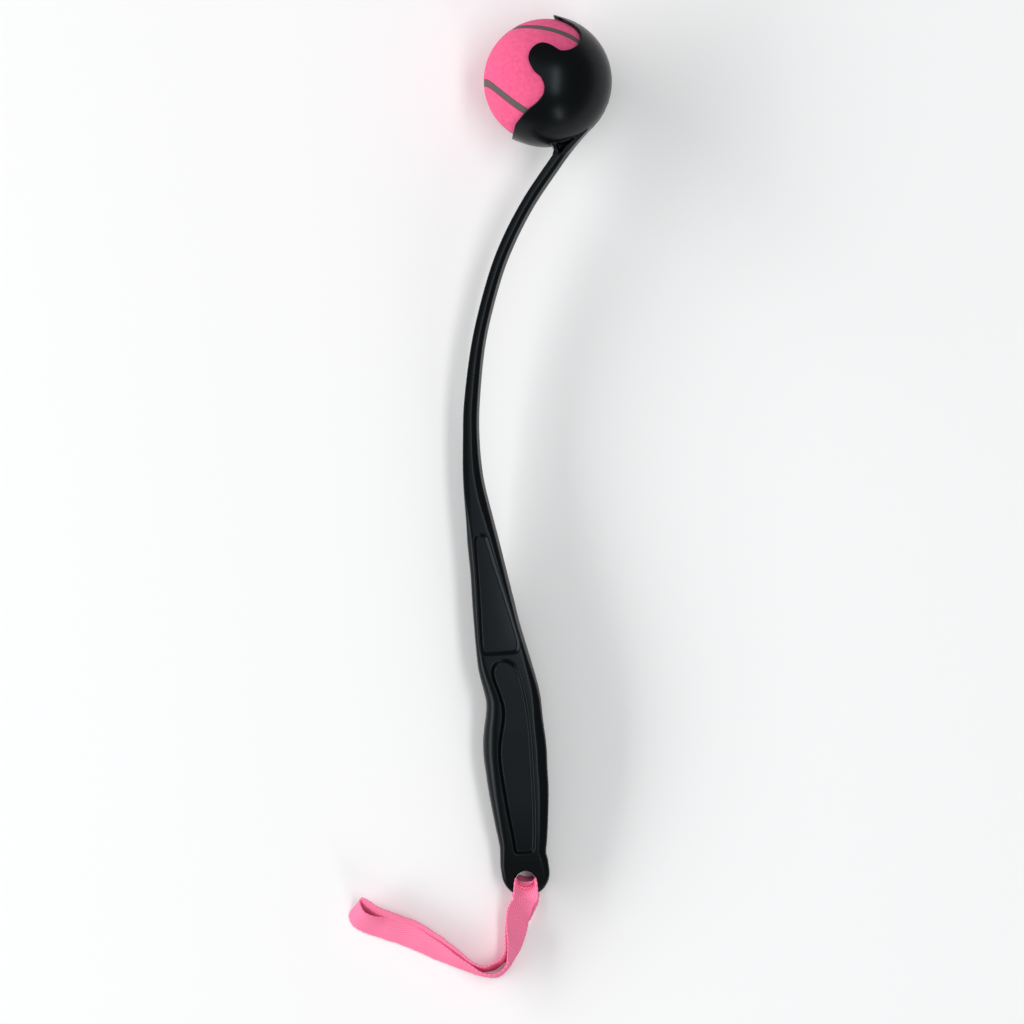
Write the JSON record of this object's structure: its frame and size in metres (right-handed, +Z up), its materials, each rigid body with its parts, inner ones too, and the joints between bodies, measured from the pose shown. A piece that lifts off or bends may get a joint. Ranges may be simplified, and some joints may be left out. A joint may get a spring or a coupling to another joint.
{
  "type": "dog ball thrower",
  "caption": "Bowed one-hand dog ball thrower with a round finger cup, contoured grip with side pockets, eyed tail tab with a wrist strap, and a felt ball in the cup.",
  "frame": {"origin": "middle of the bottom of the whole thrower's box, on the surface that it lies on", "axes": "+Y along the launcher from the strap to the cup, +X across it towards the hollow side of its bow, +Z up, out of the launcher's side"},
  "size_m": [0.1374, 0.501, 0.0688],
  "materials": {
    "launcher_plastic": "black satin moulded plastic",
    "core_rubber": "matte grey rubber",
    "ball_felt": "short brushed pink felt",
    "seam_rubber": "matte grey seam rubber",
    "strap_tape": "pink herringbone woven tape",
    "strap_thread": "pink sewing thread"
  },
  "bodies": {
    "launcher": {"cup": "launcher_plastic", "shaft": "launcher_plastic", "handle": "launcher_plastic", "eye_tab": "launcher_plastic"},
    "ball": {"ball_core_upper": "core_rubber", "ball_core_lower": "core_rubber", "felt_panel_a": "ball_felt", "felt_panel_b": "ball_felt", "ball_seam": "seam_rubber"},
    "strap": {"wrist_strap": "strap_tape", "strap_stitching": "strap_thread"}
  },
  "joints": [
    {"name": "ball_release", "type": "slide", "parent": "launcher", "child": "ball", "axis": [-0.9483, 0.3168, 0.0185], "range_m": [0, 0.07]},
    {"name": "strap_swing", "type": "hinge", "parent": "launcher", "child": "strap", "pos_m": [0.02374, -0.20008, 0.01017], "axis": [0, 0, 1], "range_deg": [-40, 60]}
  ]
}
